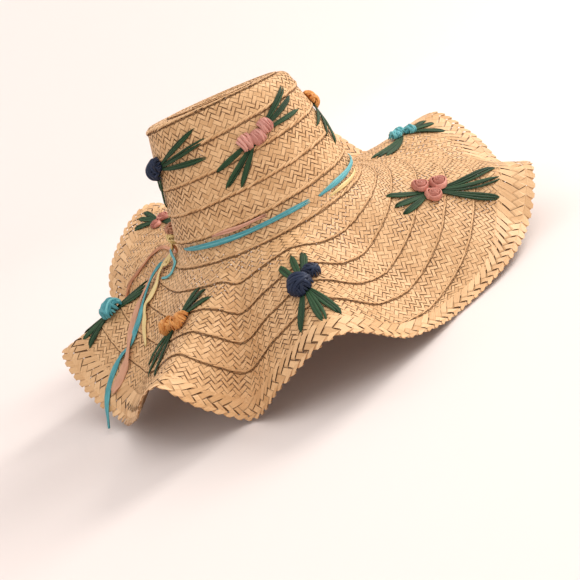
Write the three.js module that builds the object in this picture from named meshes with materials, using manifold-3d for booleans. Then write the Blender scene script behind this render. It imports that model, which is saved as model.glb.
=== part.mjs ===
// Wide brim straw hat: a flat straw plait sewn round and round into a crown and a wavy brim,
// with a plaited edge, raffia flowers and leaves, a laced raffia band and a tie with free tails.
// Millimetres, +Z up. Azimuth is in degrees from -Y, growing towards +X.
import * as THREE from 'three';
import { mergeVertices } from 'three/addons/utils/BufferGeometryUtils.js';
import Module from 'manifold-3d';

const wasm = await Module();
wasm.setup();

// Straw wall and the clearance between neighbouring pieces
const WALL = 2;
const GAP = 0.4;

// Vertices nearer than this are one vertex, and directions are measured over this far to each side
const WELD = 1e-4;
const MEASURE_STEP = 0.25;

// Crown, measured on the middle of the wall; height 0 is where crown and brim meet
const CROWN_HEIGHT = 117;
const TIP_FLAT_RADIUS = 61;
const TIP_ROUNDING = 8;
const SIDE_LEAN = 12.2;
const FLARE_HEIGHT = 10;
const FLARE_SLOPE = 40;
const BASE_RADIUS = 97.5;
const CROWN_SEGMENTS = 60;
const ROUNDING_TURNS = [30, 55, 90 - SIDE_LEAN];
const FLARE_STATIONS = [0, 0.4, 0.75, 1];
const FLARE_HALVINGS = 24;

// Brim, measured along the straw from the crown outwards
const BRIM_WIDTH = 148;
const EDGE_PLAIT_WIDTH = 20;
const BRIM_START = 1;
const BRIM_BANDS = 6;
const EDGE_BANDS = 2;
const BRIM_SEGMENTS = 120;
const REACH_STEPS = 16;

// Heights of the folds, above the crown's base, half way out and at the rim
const FOLDS = [
  { fold: 'back left crest', azimuth: -150, mid: 8, rim: 28 },
  { fold: 'back left slope', azimuth: -133, mid: -5, rim: -8 },
  { fold: 'left back trough', azimuth: -112, mid: -48, rim: -104 },
  { fold: 'left crest', azimuth: -97, mid: -21, rim: -39 },
  { fold: 'left slope', azimuth: -86, mid: -35, rim: -70 },
  { fold: 'left trough', azimuth: -70, mid: -47, rim: -95 },
  { fold: 'left front slope', azimuth: -50, mid: -36, rim: -75 },
  { fold: 'left front crest', azimuth: -35, mid: -26, rim: -41 },
  { fold: 'left front crease', azimuth: -30, mid: -34, rim: -79 },
  { fold: 'front trough', azimuth: -25, mid: -50, rim: -104 },
  { fold: 'front slope', azimuth: -12, mid: -34, rim: -73 },
  { fold: 'front crest', azimuth: 0, mid: -23, rim: -52 },
  { fold: 'right front slope', azimuth: 15, mid: -49, rim: -91 },
  { fold: 'right trough', azimuth: 32, mid: -62, rim: -104 },
  { fold: 'right slope', azimuth: 65, mid: -46, rim: -91 },
  { fold: 'right crest', azimuth: 79, mid: -31, rim: -54 },
  { fold: 'right dip', azimuth: 98, mid: -27, rim: -63 },
  { fold: 'back right slope', azimuth: 112, mid: -15, rim: -33 },
  { fold: 'back right crest', azimuth: 123, mid: -6, rim: -6 },
  { fold: 'back right dip', azimuth: 146, mid: -15, rim: -27 },
  { fold: 'back crest', azimuth: 157, mid: 0, rim: 21 },
  { fold: 'back trough', azimuth: 178, mid: -46, rim: -104 },
];

// Sprays: a flower of three lobes with two fans of three leaves. On the brim "at" is the distance
// out from the crown, on the crown it is the height. Headings turn from straight out (or straight
// down the crown) towards growing azimuth.
const SPRAYS = [
  { name: 'crown_navy', on: 'crown', azimuth: -72, at: 85,
    lead: 97, leadFan: 11, leadLength: 68, trail: -50, trailFan: 32, trailLength: 38 },
  { name: 'crown_pink', on: 'crown', azimuth: 12, at: 81,
    lead: 104, leadFan: 13, leadLength: 56, trail: -54, trailFan: 16, trailLength: 48 },
  { name: 'crown_orange', on: 'crown', azimuth: 93, at: 78,
    lead: 104, leadFan: 13, leadLength: 54, trail: -53, trailFan: 13, trailLength: 52 },
  { name: 'crown_turquoise', on: 'crown', azimuth: -177, at: 83,
    lead: 104, leadFan: 13, leadLength: 54, trail: -54, trailFan: 15, trailLength: 48 },
  { name: 'brim_coral_back', on: 'brim', azimuth: -146, at: 97,
    lead: 7, leadFan: 16, leadLength: 40, trail: -170, trailFan: 16, trailLength: 44 },
  { name: 'brim_turquoise_left', on: 'brim', azimuth: -96, at: 82,
    lead: 6, leadFan: 14, leadLength: 43, trail: 175, trailFan: 14, trailLength: 46 },
  { name: 'brim_orange_front', on: 'brim', azimuth: -47, at: 63,
    lead: -25, leadFan: 28, leadLength: 52, trail: 141, trailFan: 21, trailLength: 42 },
  { name: 'brim_navy_front', on: 'brim', azimuth: -1, at: 80,
    lead: 0, leadFan: 18, leadLength: 48, trail: 180, trailFan: 18, trailLength: 44 },
  { name: 'brim_coral_right', on: 'brim', azimuth: 69, at: 59,
    lead: 16, leadFan: 10, leadLength: 64, trail: -124, trailFan: 15, trailLength: 44 },
  { name: 'brim_turquoise_right', on: 'brim', azimuth: 121, at: 90,
    lead: -14, leadFan: 16, leadLength: 41, trail: -151, trailFan: 11, trailLength: 68 },
  { name: 'brim_orange_back', on: 'brim', azimuth: 160, at: 86,
    lead: -4, leadFan: 16, leadLength: 42, trail: 176, trailFan: 16, trailLength: 44 },
];
const LEAF_SECTIONS = [
  { along: 0.06, halfWidth: 0.3 },
  { along: 0.22, halfWidth: 1 },
  { along: 0.4, halfWidth: 2.2 },
  { along: 0.6, halfWidth: 2.4 },
  { along: 0.8, halfWidth: 1.7 },
  { along: 1, halfWidth: 0.3 },
];
const LEAF_LIFT = 0.8;
const LEAF_THICKNESS = 1.3;
const ROOT_RADIUS = 5.5;
const ROOT_LIFT = 0.6;
const ROOT_THICKNESS = 1.7;
const ROOT_SIDES = 10;
const FLOWER_LOBES = 3;
const FLOWER_RADIUS = 10.5;
const FLOWER_LOBE_DEPTH = 0.14;
const FLOWER_HALF_HEIGHT = 4.6;
const LUMP_BANDS = 5;

// Laced raffia stretches round the foot of the crown
const BAND_STRETCHES = [
  { name: 'band_turquoise_front', from: -67, to: 22, startHeight: 13, endHeight: 13.5, width: 4.6 },
  { name: 'band_turquoise_right', from: 28, to: 80, startHeight: 12.5, endHeight: 18, width: 4.6 },
  { name: 'band_turquoise_back', from: 87, to: 163, startHeight: 15, endHeight: 13, width: 4.6 },
  { name: 'band_turquoise_left', from: 170, to: 238, startHeight: 13, endHeight: 15, width: 4.6 },
  { name: 'band_salmon_front', from: -38, to: -3, startHeight: 19.5, endHeight: 19.5, width: 3.4 },
  { name: 'band_yellow_right', from: 33, to: 70, startHeight: 7, endHeight: 9.5, width: 3.6 },
];
const BAND_THICKNESS = 1;
const BAND_LIFT = 0.5;
const BAND_STEP = 6;
const BAND_TAPER = 12;
const BAND_TIP_SHARE = 0.3;

// Tie: a knot on the foot of the crown, with free tails laid over the brim
const TIE = { azimuth: -102, height: 18, radius: 8.5, halfDepth: 6.5, sides: 8 };
const TAIL_RADIUS = 1.7;
const TAIL_LIFT = 0.6;
const TAIL_SIDES = 6;
const TAIL_STEPS = 16;
const TAILS = [
  { name: 'tail_rust', colour: 'rust', route: [
    { azimuth: -110, out: 3, lift: 4 },
    { azimuth: -119, out: 23, lift: 0 },
    { azimuth: -126, out: 50, lift: 0 },
    { azimuth: -128, out: 77, lift: 0 },
    { azimuth: -128, out: 101, lift: 0 },
    { azimuth: -126, out: 123, lift: 0 },
  ] },
  { name: 'tail_turquoise', colour: 'turquoise', route: [
    { azimuth: -107, out: 3, lift: 4 },
    { azimuth: -105, out: 21, lift: 2.4 },
    { azimuth: -100, out: 35, lift: 2.4 },
    { azimuth: -93, out: 46, lift: 2.4 },
    { azimuth: -88, out: 58, lift: 2.4 },
    { azimuth: -84, out: 80, lift: 0 },
    { azimuth: -82.5, out: 104, lift: 0 },
    { azimuth: -80.5, out: 124, lift: 0 },
    { azimuth: -77, out: 146, lift: 0 },
    { azimuth: -74, out: 160, lift: 0 },
  ] },
  { name: 'tail_peach', colour: 'peach', route: [
    { azimuth: -104, out: 3, lift: 4 },
    { azimuth: -101, out: 20, lift: 0 },
    { azimuth: -96, out: 33, lift: 2.4 },
    { azimuth: -89, out: 45, lift: 2.4 },
    { azimuth: -84, out: 62, lift: 0 },
    { azimuth: -80, out: 83, lift: 0 },
    { azimuth: -78, out: 100, lift: 0 },
    { azimuth: -77, out: 117, lift: 0 },
    { azimuth: -76.5, out: 129, lift: 0 },
  ] },
  { name: 'tail_yellow', colour: 'yellow', route: [
    { azimuth: -101, out: 3, lift: 4 },
    { azimuth: -97, out: 16, lift: 0 },
    { azimuth: -91, out: 26, lift: 0 },
    { azimuth: -85, out: 40, lift: 0 },
    { azimuth: -80, out: 52, lift: 0 },
    { azimuth: -77, out: 66, lift: 0 },
    { azimuth: -74, out: 83, lift: 0 },
  ] },
  { name: 'tail_loop', colour: 'turquoise', route: [
    { azimuth: -98, out: 3, lift: 4 },
    { azimuth: -93, out: 6, lift: 0 },
    { azimuth: -87, out: 8, lift: 0 },
    { azimuth: -80, out: 12, lift: 0 },
    { azimuth: -77, out: 18, lift: 0 },
    { azimuth: -81, out: 23, lift: 0 },
    { azimuth: -86, out: 22, lift: 0 },
  ] },
];

// Colours of straw and dyed raffia
const COLOURS = {
  straw: 0xe3c48f,
  leaf: 0x2c4a33,
  navy: 0x27304a,
  pink: 0xd98c7c,
  coral: 0xd9826f,
  orange: 0xe39a4f,
  turquoise: 0x5fb6bd,
  salmon: 0xdb9a7e,
  peach: 0xe0b38a,
  rust: 0xc98a62,
  yellow: 0xe6cf86,
};
const STRAW_ROUGHNESS = 0.75;
const RAFFIA_ROUGHNESS = 0.55;

const hat = new THREE.Group();

function material(colour, roughness) {
  return new THREE.MeshStandardMaterial({ color: COLOURS[colour], roughness, metalness: 0 });
}

function addPiece(name, geometry, colour, roughness) {
  const piece = new THREE.Mesh(geometry, material(colour, roughness));
  piece.name = name;
  hat.add(piece);
}

function indexedGeometry(points, triangles) {
  const geometry = new THREE.BufferGeometry();
  geometry.setAttribute('position', new THREE.Float32BufferAttribute(points.flatMap((p) => p.toArray()), 3));
  geometry.setIndex(triangles.flat());
  return geometry;
}

// Joins closed geometries into one body
function joined(geometries) {
  const solids = geometries.map((geometry) => {
    const bare = geometry.clone();
    bare.deleteAttribute('normal');
    bare.deleteAttribute('uv');
    const merged = mergeVertices(bare, WELD);
    return new wasm.Manifold(new wasm.Mesh({
      numProp: 3,
      vertProperties: new Float32Array(merged.attributes.position.array),
      triVerts: new Uint32Array(merged.index.array),
    }));
  });
  const body = solids.reduce((whole, solid) => whole.add(solid)).getMesh();
  const geometry = new THREE.BufferGeometry();
  geometry.setAttribute('position', new THREE.BufferAttribute(new Float32Array(body.vertProperties), 3));
  geometry.setIndex(new THREE.BufferAttribute(new Uint32Array(body.triVerts), 1));
  return geometry;
}

// Quads between neighbouring rings of equal length, as two triangles each
function ringTriangles(ringCount, ringSize) {
  const triangles = [];
  for (let ring = 0; ring < ringCount - 1; ring += 1) {
    for (let k = 0; k < ringSize; k += 1) {
      const next = (k + 1) % ringSize;
      const a = ring * ringSize + k;
      const b = ring * ringSize + next;
      const c = (ring + 1) * ringSize + next;
      const d = (ring + 1) * ringSize + k;
      triangles.push([a, b, c], [a, c, d]);
    }
  }
  return triangles;
}

// Fold heights between the rows of the table: a smooth curve that never passes a crest or trough
function foldCurve(column) {
  const count = FOLDS.length;
  const at = (k) => FOLDS[(k + count) % count];
  const span = (k) => (at(k + 1).azimuth - at(k).azimuth + 360) % 360;
  const rise = (k) => (at(k + 1)[column] - at(k)[column]) / span(k);
  const tangents = FOLDS.map((row, k) => {
    const before = rise(k - 1);
    const after = rise(k);
    if (before * after <= 0) return 0;
    const nearWeight = 2 * span(k) + span(k - 1);
    const farWeight = span(k) + 2 * span(k - 1);
    return (nearWeight + farWeight) / (nearWeight / before + farWeight / after);
  });
  return (azimuth) => {
    const turned = FOLDS[0].azimuth + ((azimuth - FOLDS[0].azimuth) % 360 + 360) % 360;
    let k = count - 1;
    while (FOLDS[k].azimuth > turned) k -= 1;
    const width = span(k);
    const x = (turned - FOLDS[k].azimuth) / width;
    const y = 1 - x;
    return at(k)[column] * (1 + 2 * x) * y * y + width * tangents[k] * x * y * y
      + at(k + 1)[column] * x * x * (3 - 2 * x) - width * tangents[(k + 1) % count] * x * x * y;
  };
}
const midHeight = foldCurve('mid');
const rimHeight = foldCurve('rim');

function around(radius, azimuth, height) {
  const angle = THREE.MathUtils.degToRad(azimuth);
  return new THREE.Vector3(radius * Math.sin(angle), -radius * Math.cos(angle), height);
}

// Middle of the brim's wall; the straw keeps its width, so a steeper section reaches less far out
function brimPoint(azimuth, out) {
  const start = 4 * midHeight(azimuth) - rimHeight(azimuth);
  const bend = 2 * rimHeight(azimuth) - 4 * midHeight(azimuth);
  let radius = BASE_RADIUS;
  for (let k = 0; k < REACH_STEPS; k += 1) {
    const share = ((k + 0.5) / REACH_STEPS) * (out / BRIM_WIDTH);
    const slope = (start + 2 * bend * share) / BRIM_WIDTH;
    radius += Math.sqrt(1 - slope * slope) * (out / REACH_STEPS);
  }
  const share = out / BRIM_WIDTH;
  return around(radius, azimuth, start * share + bend * share * share);
}

// Lower profile of the crown: from the leaning side into the flare at the base
const lean = THREE.MathUtils.degToRad(SIDE_LEAN);
const roundingCentre = CROWN_HEIGHT - TIP_ROUNDING;
const sideTop = new THREE.Vector2(
  TIP_FLAT_RADIUS + TIP_ROUNDING * Math.cos(lean),
  roundingCentre + TIP_ROUNDING * Math.sin(lean),
);
const sideRadius = (height) => sideTop.x + (sideTop.y - height) * Math.tan(lean);
const flareSlope = Math.tan(THREE.MathUtils.degToRad(FLARE_SLOPE));
const flareDrop = (FLARE_HEIGHT - flareSlope * (BASE_RADIUS - sideRadius(FLARE_HEIGHT)))
  / (1 - flareSlope * Math.tan(lean));
const flare = new THREE.QuadraticBezierCurve(
  new THREE.Vector2(sideRadius(FLARE_HEIGHT), FLARE_HEIGHT),
  new THREE.Vector2(sideRadius(FLARE_HEIGHT - flareDrop), FLARE_HEIGHT - flareDrop),
  new THREE.Vector2(BASE_RADIUS, 0),
);

function crownPoint(azimuth, height) {
  if (height >= FLARE_HEIGHT) return around(sideRadius(height), azimuth, height);
  let low = 0;
  let high = 1;
  for (let k = 0; k < FLARE_HALVINGS; k += 1) {
    const middle = (low + high) / 2;
    if (flare.getPoint(middle).y > height) low = middle;
    else high = middle;
  }
  return around(flare.getPoint(low).x, azimuth, height);
}

// A place on the straw's outer face with its outward direction; "lift" is the height above it
function onStraw(on, azimuth, at, lift) {
  const place = on === 'brim' ? brimPoint : crownPoint;
  const sideways = place(azimuth + MEASURE_STEP, at).sub(place(azimuth - MEASURE_STEP, at));
  const outwards = place(azimuth, at + MEASURE_STEP).sub(place(azimuth, at - MEASURE_STEP));
  const normal = outwards.cross(sideways).normalize();
  if (on === 'crown') normal.negate();
  return { point: place(azimuth, at).addScaledVector(normal, WALL / 2 + lift), normal };
}

// Crown: a revolved wall, closed at the tip and open at the head
function crown() {
  const middle = [new THREE.Vector2(0, CROWN_HEIGHT), new THREE.Vector2(TIP_FLAT_RADIUS, CROWN_HEIGHT)];
  const normals = [new THREE.Vector2(0, 1), new THREE.Vector2(0, 1)];
  for (const turn of ROUNDING_TURNS) {
    const angle = THREE.MathUtils.degToRad(90 - turn);
    const normal = new THREE.Vector2(Math.cos(angle), Math.sin(angle));
    middle.push(new THREE.Vector2(TIP_FLAT_RADIUS, roundingCentre).addScaledVector(normal, TIP_ROUNDING));
    normals.push(normal);
  }
  const sideNormal = new THREE.Vector2(Math.cos(lean), Math.sin(lean));
  const halfHeight = (sideTop.y + FLARE_HEIGHT) / 2;
  middle.push(new THREE.Vector2(sideRadius(halfHeight), halfHeight));
  normals.push(sideNormal);
  for (const along of FLARE_STATIONS) {
    const tangent = flare.getTangent(along);
    middle.push(flare.getPoint(along));
    normals.push(new THREE.Vector2(-tangent.y, tangent.x));
  }
  const side = (offset) => middle.map((point, k) => point.clone().addScaledVector(normals[k], offset));
  const profile = [...side(WALL / 2), ...side(-WALL / 2).reverse()];
  return new THREE.LatheGeometry(profile.reverse(), CROWN_SEGMENTS).rotateX(Math.PI / 2);
}

// A closed ring of wavy straw wall between two distances out from the crown
function wavyRing(from, to, bands) {
  const points = [];
  for (let k = 0; k < BRIM_SEGMENTS; k += 1) {
    const azimuth = (k * 360) / BRIM_SEGMENTS;
    const place = (band, lift) => onStraw('brim', azimuth, from + ((to - from) * band) / bands, lift).point;
    for (let band = 0; band <= bands; band += 1) points.push(place(band, 0));
    for (let band = bands; band >= 0; band -= 1) points.push(place(band, -WALL));
  }
  const ringSize = 2 * (bands + 1);
  const triangles = ringTriangles(BRIM_SEGMENTS + 1, ringSize);
  const wrapped = triangles.map((triangle) => triangle.map((index) => index % points.length));
  return indexedGeometry(points, wrapped);
}

// A body lofted through rings of points of equal length, closed at both ends
function lofted(rings) {
  const ringSize = rings[0].length;
  const points = rings.flat();
  const triangles = ringTriangles(rings.length, ringSize);
  const last = (rings.length - 1) * ringSize;
  for (let k = 1; k < ringSize - 1; k += 1) {
    triangles.push([0, k + 1, k], [last, last + k, last + k + 1]);
  }
  return indexedGeometry(points, triangles);
}

// Step of a given length and heading along the straw from a spray's middle
function alongStraw(spray, distance, heading, lift) {
  const angle = THREE.MathUtils.degToRad(heading);
  const middle = onStraw(spray.on, spray.azimuth, spray.at, 0).point;
  const radius = Math.hypot(middle.x, middle.y);
  const azimuth = spray.azimuth + THREE.MathUtils.radToDeg((distance * Math.sin(angle)) / radius);
  const drop = distance * Math.cos(angle);
  const at = spray.on === 'brim' ? spray.at + drop : spray.at - drop * Math.cos(lean);
  return onStraw(spray.on, azimuth, at, lift);
}

// One leaf: long raffia stitches lying on the straw, pointed at the tip
function leaf(spray, heading, length) {
  const rings = LEAF_SECTIONS.map((section) => {
    const distance = section.along * length;
    const here = alongStraw(spray, distance, heading, LEAF_LIFT);
    const ahead = alongStraw(spray, distance + 1, heading, LEAF_LIFT).point.sub(here.point).normalize();
    const across = ahead.clone().cross(here.normal).normalize();
    const raised = (height) => here.point.clone().addScaledVector(here.normal, height);
    return [
      raised(0).addScaledVector(across, section.halfWidth),
      raised(0).addScaledVector(across, -section.halfWidth),
      raised(LEAF_THICKNESS),
    ];
  });
  return lofted(rings);
}

// A geometry modelled along +Z, set on a place of the straw
function standing(geometry, place) {
  const turn = new THREE.Quaternion().setFromUnitVectors(new THREE.Vector3(0, 0, 1), place.normal);
  return geometry.applyQuaternion(turn).translate(place.point.x, place.point.y, place.point.z);
}

// A rounded lump of raffia standing on its flatter side, with lobes round its outline
function lump(place, radius, halfHeight, lobeDepth, sides) {
  const geometry = new THREE.SphereGeometry(1, sides, LUMP_BANDS).rotateX(Math.PI / 2);
  const position = geometry.attributes.position;
  for (let k = 0; k < position.count; k += 1) {
    const turn = Math.atan2(position.getY(k), position.getX(k));
    const reach = radius * (1 + lobeDepth * Math.cos(FLOWER_LOBES * turn));
    position.setXYZ(k, position.getX(k) * reach, position.getY(k) * reach, position.getZ(k) * halfHeight);
  }
  return standing(geometry, place);
}

// Two fans of leaves growing from one stitched root under the flower
function leaves(spray) {
  const fans = [
    { heading: spray.lead, fan: spray.leadFan, length: spray.leadLength },
    { heading: spray.trail, fan: spray.trailFan, length: spray.trailLength },
  ];
  const blades = fans.flatMap(({ heading, fan, length }) => [-1, 0, 1].map(
    (side) => leaf(spray, heading + side * fan, length),
  ));
  const root = new THREE.CylinderGeometry(ROOT_RADIUS, ROOT_RADIUS, ROOT_THICKNESS, ROOT_SIDES);
  root.rotateX(Math.PI / 2);
  const place = onStraw(spray.on, spray.azimuth, spray.at, ROOT_LIFT + ROOT_THICKNESS / 2);
  return joined([standing(root, place), ...blades]);
}

function flower(spray) {
  const lift = ROOT_LIFT + ROOT_THICKNESS + GAP + FLOWER_HALF_HEIGHT;
  const place = onStraw(spray.on, spray.azimuth, spray.at, lift);
  return lump(place, FLOWER_RADIUS, FLOWER_HALF_HEIGHT, FLOWER_LOBE_DEPTH, 4 * FLOWER_LOBES);
}

// One stretch of the band: a flat strip of raffia that narrows where it passes into the straw
function bandStretch(stretch) {
  const span = stretch.to - stretch.from;
  const count = Math.round(span / BAND_STEP);
  const rings = [];
  for (let k = 0; k <= count; k += 1) {
    const share = k / count;
    const azimuth = stretch.from + span * share;
    const height = THREE.MathUtils.lerp(stretch.startHeight, stretch.endHeight, share);
    const fromEnd = Math.min(share, 1 - share) * span;
    const fullness = THREE.MathUtils.lerp(BAND_TIP_SHARE, 1, Math.min(1, fromEnd / BAND_TAPER));
    const halfWidth = (stretch.width / 2) * fullness;
    rings.push([
      onStraw('crown', azimuth, height - halfWidth, BAND_LIFT).point,
      onStraw('crown', azimuth, height + halfWidth, BAND_LIFT).point,
      onStraw('crown', azimuth, height + halfWidth, BAND_LIFT + BAND_THICKNESS).point,
      onStraw('crown', azimuth, height - halfWidth, BAND_LIFT + BAND_THICKNESS).point,
    ]);
  }
  return lofted(rings);
}

// A line laid on the brim through the places of a route
class LaidLine extends THREE.Curve {
  constructor(route) {
    super();
    const places = route.map((row) => new THREE.Vector3(row.azimuth, row.out, row.lift));
    this.places = new THREE.CatmullRomCurve3(places);
  }

  getPoint(t) {
    const place = this.places.getPoint(t);
    return onStraw('brim', place.x, place.y, TAIL_LIFT + TAIL_RADIUS + place.z).point;
  }
}

function tail(route) {
  const section = new THREE.Shape();
  section.absarc(0, 0, TAIL_RADIUS, 0, 2 * Math.PI);
  return new THREE.ExtrudeGeometry(section, {
    extrudePath: new LaidLine(route),
    steps: TAIL_STEPS,
    curveSegments: TAIL_SIDES / 2,
    bevelEnabled: false,
  });
}

const innerEdge = BRIM_WIDTH - EDGE_PLAIT_WIDTH;
addPiece('crown', crown(), 'straw', STRAW_ROUGHNESS);
addPiece('brim', wavyRing(BRIM_START, innerEdge, BRIM_BANDS), 'straw', STRAW_ROUGHNESS);
addPiece('edge_plait', wavyRing(innerEdge + GAP, BRIM_WIDTH, EDGE_BANDS), 'straw', STRAW_ROUGHNESS);
for (const spray of SPRAYS) {
  const colour = spray.name.split('_')[1];
  addPiece(`leaves_${spray.name}`, leaves(spray), 'leaf', RAFFIA_ROUGHNESS);
  addPiece(`flower_${spray.name}`, flower(spray), colour, RAFFIA_ROUGHNESS);
}
for (const stretch of BAND_STRETCHES) {
  const colour = stretch.name.split('_')[1];
  addPiece(stretch.name, bandStretch(stretch), colour, RAFFIA_ROUGHNESS);
}
const tiePlace = onStraw('crown', TIE.azimuth, TIE.height, GAP + TIE.halfDepth);
addPiece('tie_knot', lump(tiePlace, TIE.radius, TIE.halfDepth, 0, TIE.sides), 'yellow', RAFFIA_ROUGHNESS);

// The hat without its tails stands on z = 0 with its box centred on the origin
const box = new THREE.Box3().setFromObject(hat, true);
for (const { name, colour, route } of TAILS) {
  addPiece(name, tail(route), colour, RAFFIA_ROUGHNESS);
}
hat.position.set(-(box.min.x + box.max.x) / 2, -(box.min.y + box.max.y) / 2, -box.min.z);

export default hat;
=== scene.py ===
import math
import bpy
import numpy as np
from mathutils import Matrix, Vector


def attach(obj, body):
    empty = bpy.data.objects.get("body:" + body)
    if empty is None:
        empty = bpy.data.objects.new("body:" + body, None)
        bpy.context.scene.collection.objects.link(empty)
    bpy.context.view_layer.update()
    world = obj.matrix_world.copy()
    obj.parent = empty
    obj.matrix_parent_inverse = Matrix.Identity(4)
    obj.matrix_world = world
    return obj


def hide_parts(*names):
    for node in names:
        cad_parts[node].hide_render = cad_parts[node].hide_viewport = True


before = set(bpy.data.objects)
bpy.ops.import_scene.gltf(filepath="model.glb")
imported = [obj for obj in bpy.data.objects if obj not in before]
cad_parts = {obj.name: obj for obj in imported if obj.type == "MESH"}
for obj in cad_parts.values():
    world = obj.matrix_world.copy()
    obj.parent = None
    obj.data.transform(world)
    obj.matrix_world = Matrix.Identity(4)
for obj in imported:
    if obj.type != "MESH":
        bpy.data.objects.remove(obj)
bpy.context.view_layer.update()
bpy.ops.object.select_all(action="DESELECT")

# Crown: a flat plait of palm straw, 25 mm wide, sewn in a spiral, each row's edge over the next.
# It starts at the middle of the tip and runs down the leaning side to the flare where the brim
# begins. Eleven strands are woven over two and under two, and turn back at the plait's edges.
SEAT = np.array((2.526, 0.334, 104.889))
BASE_RADIUS = 97.5
CROWN_HEIGHT = 117.0
TIP_FLAT_RADIUS = 61.0
TIP_ROUNDING = 8.0
TIP_TILT = 3.5
TIP_HIGH_AT = -50
SIDE_LEAN = math.radians(12.2)
FLARE_HEIGHT = 10.0
FLARE_SLOPE = math.tan(math.radians(40))
BRIM_WIDTH = 148.0
# Each fold of the brim: its azimuth, and its height half way out and at the rim.
FOLDS = np.array((
    (-150, 8, 28), (-133, -5, -8), (-112, -48, -104), (-97, -21, -39), (-86, -35, -70),
    (-70, -47, -95), (-50, -36, -75), (-35, -26, -41), (-30, -34, -79), (-25, -50, -104),
    (-12, -34, -73), (0, -23, -52), (15, -49, -91), (32, -62, -104), (65, -46, -91),
    (79, -31, -54), (98, -27, -63), (112, -15, -33), (123, -6, -6), (146, -15, -27),
    (157, 0, 21), (178, -46, -104)), float)

lean_rise = math.tan(SIDE_LEAN)
side_top = np.array((TIP_FLAT_RADIUS + TIP_ROUNDING * math.cos(SIDE_LEAN),
                     CROWN_HEIGHT - TIP_ROUNDING + TIP_ROUNDING * math.sin(SIDE_LEAN)))
flare_top = np.array((side_top[0] + (side_top[1] - FLARE_HEIGHT) * lean_rise, FLARE_HEIGHT))
flare_drop = FLARE_HEIGHT - FLARE_SLOPE * (BASE_RADIUS - flare_top[0])
flare_drop /= 1 - FLARE_SLOPE * lean_rise
flare_bend = flare_top + np.array((flare_drop * lean_rise, -flare_drop))
base_line = np.array((BASE_RADIUS, 0.0))
up = np.linspace(0, 1, 13)[:, None]
flare = base_line * (1 - up) ** 2 + 2 * flare_bend * up * (1 - up) + flare_top * up ** 2
round_turn = np.linspace(SIDE_LEAN, math.pi / 2, 12)
rounding = np.stack((TIP_FLAT_RADIUS + TIP_ROUNDING * np.cos(round_turn),
                     CROWN_HEIGHT - TIP_ROUNDING + TIP_ROUNDING * np.sin(round_turn)), -1)
profile = np.concatenate((flare, rounding, ((0.0, CROWN_HEIGHT),)))
climb = np.append(0, np.cumsum(np.linalg.norm(np.diff(profile, axis=0), axis=1)))


def wave(azimuth, heights):
    """Height of the waved brim, easing from each crest to the next trough."""
    at = np.append(FOLDS[:, 0], FOLDS[0, 0] + 360)
    high = np.append(heights, heights[0])
    span = np.diff(at)
    rise = np.diff(high) / span
    span_before = np.roll(span, 1)
    rise_before = np.roll(rise, 1)
    near = 2 * span + span_before
    far = span + 2 * span_before
    runs_on = rise * rise_before > 0
    tangent = np.zeros(len(span))
    tangent[runs_on] = (near + far)[runs_on] / (
        near[runs_on] / rise_before[runs_on] + far[runs_on] / rise[runs_on])
    tangent = np.append(tangent, tangent[0])
    turned = (azimuth - at[0]) % 360 + at[0]
    fold = np.clip(np.searchsorted(at, turned, side="right") - 1, 0, len(span) - 1)
    part = (turned - at[fold]) / span[fold]
    back = 1 - part
    return (high[fold] * (1 + 2 * part) * back ** 2 + high[fold + 1] * part ** 2 * (3 - 2 * part)
            + span[fold] * part * back * (tangent[fold] * back - tangent[fold + 1] * part))


def straw_middle(azimuth, down):
    """Points in the straw's thickness, down being the way along it from the crown's base line."""
    out = np.maximum(down, 0)
    middle = wave(azimuth, FOLDS[:, 1])
    rim = wave(azimuth, FOLDS[:, 2])
    first = 4 * middle - rim
    bend = 2 * rim - 4 * middle
    reach = out / BRIM_WIDTH
    steps = (np.arange(16) + 0.5) / 16
    slope = (first[..., None] + 2 * bend[..., None] * reach[..., None] * steps) / BRIM_WIDTH
    level = np.sqrt(np.clip(1 - slope ** 2, 0.04, 1)).mean(-1)
    on_crown = down < 0
    radius = np.where(on_crown, np.interp(-down, climb, profile[:, 0]), BASE_RADIUS + out * level)
    height = np.where(on_crown, np.interp(-down, climb, profile[:, 1]), (first + bend * reach) * reach)
    near_tip = np.clip((-down - 90) / 30, 0, 1) * radius / (TIP_FLAT_RADIUS + TIP_ROUNDING)
    height = height + TIP_TILT * near_tip * np.cos(np.radians(azimuth - TIP_HIGH_AT))
    turn = np.radians(azimuth)
    return np.stack((radius * np.sin(turn), -radius * np.cos(turn), height), -1)


def straw_facing(azimuth, down):
    """The way that the straw's outer face looks."""
    round_hat = straw_middle(azimuth + 0.3, down) - straw_middle(azimuth - 0.3, down)
    down_hat = straw_middle(azimuth, down + 0.4) - straw_middle(azimuth, down - 0.4)
    facing = np.cross(down_hat, round_hat)
    return facing / np.linalg.norm(facing, axis=-1, keepdims=True)


CROWN_PITCH = 24.4
BRIM_PITCH = 25.6
ROW_START = 0.16
FIRST_ROW = -8
LAST_ROW = 5
LAST_SWEEP = 165
TIP_START = -187.5
OVERLAP = 3.0
ROW_TILT = 1.5
CROSSINGS = 11
STRAND_PITCH = (BRIM_PITCH + OVERLAP) / CROSSINGS * 2
EASING = (-5, 0, 5)
ROW_STEPS = np.array((
    (-180, 0.05), (-110, 0.25), (-75, 0.32), (-50, 0.10), (-33, -0.12), (-12, 0.04), (15, 0.04),
    (32, 0.30), (65, 1.22), (80, 1.40), (110, 1.38), (180, 1.05)))
EDGE_STARTS = np.array((
    (-180, 126), (-110, 121), (-75, 119), (-50, 125), (-33, 132), (-5, 125), (14, 132), (30, 130),
    (40, 134), (50, 131), (65, 121), (80, 117), (110, 118), (180, 126)))


def eased(azimuth, table):
    """A size given at some azimuths, eased between them."""
    return np.mean([np.interp(azimuth + shift, table[:, 0], table[:, 1]) for shift in EASING], axis=0)


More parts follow.
